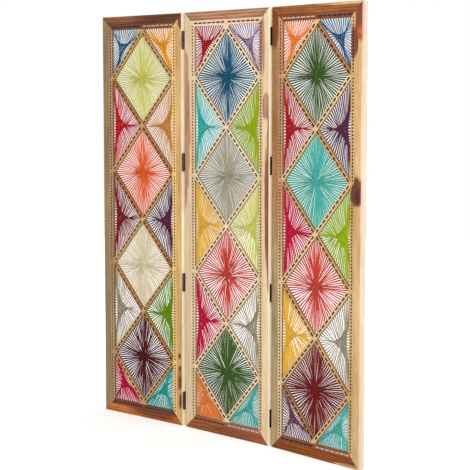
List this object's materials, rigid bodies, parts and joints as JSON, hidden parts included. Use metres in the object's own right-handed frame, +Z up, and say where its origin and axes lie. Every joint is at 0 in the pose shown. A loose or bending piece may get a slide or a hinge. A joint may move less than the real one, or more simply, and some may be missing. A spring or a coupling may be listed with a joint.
{
  "type": "folding room divider",
  "caption": "Wooden folding screen: mitred frames with a diamond lattice, coloured yarn strung across every cell, and hinged panels that stand in a shallow bow or fold flat.",
  "frame": {"origin": "middle of the screen's floor rectangle, at the height of the floor", "axes": "+Z up, the front of the screen faces -Y, +X to the right seen from the front"},
  "size_m": [1.5353, 0.0712, 1.8],
  "materials": {
    "rail_wood": "oiled heartwood",
    "stile_wood": "oiled sapwood",
    "lattice_wood": "oiled sapwood",
    "diamond_yarn": "twisted yarn",
    "triangle_yarn": "twisted yarn",
    "hinge_steel": "dull",
    "screw_steel": "dull"
  },
  "bodies": {
    "middle_panel": {"left_seam_hinge_pins": "screw_steel", "left_seam_middle_leaves": "hinge_steel", "left_seam_middle_screws": "screw_steel", "middle_panel_bottom_lath": "lattice_wood", "middle_panel_bottom_rail": "rail_wood", "middle_panel_corner_tongues": "lattice_wood", "middle_panel_diamond_webs": "diamond_yarn", "middle_panel_falling_long_strips": "lattice_wood", "middle_panel_falling_short_strips": "lattice_wood", "middle_panel_left_lath": "lattice_wood", "middle_panel_left_stile": "stile_wood", "middle_panel_left_webs": "triangle_yarn", "middle_panel_right_lath": "lattice_wood", "middle_panel_right_stile": "stile_wood", "middle_panel_right_webs": "triangle_yarn", "middle_panel_rising_long_strips": "lattice_wood", "middle_panel_rising_short_strips": "lattice_wood", "middle_panel_top_lath": "lattice_wood", "middle_panel_top_rail": "rail_wood", "right_seam_hinge_pins": "screw_steel", "right_seam_middle_leaves": "hinge_steel", "right_seam_middle_screws": "screw_steel"},
    "left_wing": {"left_panel_bottom_lath": "lattice_wood", "left_panel_bottom_rail": "rail_wood", "left_panel_corner_tongues": "lattice_wood", "left_panel_diamond_webs": "diamond_yarn", "left_panel_falling_long_strips": "lattice_wood", "left_panel_falling_short_strips": "lattice_wood", "left_panel_left_lath": "lattice_wood", "left_panel_left_stile": "stile_wood", "left_panel_left_webs": "triangle_yarn", "left_panel_right_lath": "lattice_wood", "left_panel_right_stile": "stile_wood", "left_panel_right_webs": "triangle_yarn", "left_panel_rising_long_strips": "lattice_wood", "left_panel_rising_short_strips": "lattice_wood", "left_panel_top_lath": "lattice_wood", "left_panel_top_rail": "rail_wood", "left_seam_wing_leaves": "hinge_steel", "left_seam_wing_screws": "screw_steel"},
    "right_wing": {"right_panel_bottom_lath": "lattice_wood", "right_panel_bottom_rail": "rail_wood", "right_panel_corner_tongues": "lattice_wood", "right_panel_diamond_webs": "diamond_yarn", "right_panel_falling_long_strips": "lattice_wood", "right_panel_falling_short_strips": "lattice_wood", "right_panel_left_lath": "lattice_wood", "right_panel_left_stile": "stile_wood", "right_panel_left_webs": "triangle_yarn", "right_panel_right_lath": "lattice_wood", "right_panel_right_stile": "stile_wood", "right_panel_right_webs": "triangle_yarn", "right_panel_rising_long_strips": "lattice_wood", "right_panel_rising_short_strips": "lattice_wood", "right_panel_top_lath": "lattice_wood", "right_panel_top_rail": "rail_wood", "right_seam_wing_leaves": "hinge_steel", "right_seam_wing_screws": "screw_steel"}
  },
  "joints": [
    {"name": "left_wing_fold", "type": "hinge", "parent": "middle_panel", "child": "left_wing", "pos_m": [-0.25791, -0.00128, 0.9], "axis": [0, 0, 1], "range_deg": [-30, 175.5]},
    {"name": "right_wing_fold", "type": "hinge", "parent": "middle_panel", "child": "right_wing", "pos_m": [0.26009, 0.03072, 0.9], "axis": [0, 0, 1], "range_deg": [-23.5, 182]}
  ]
}
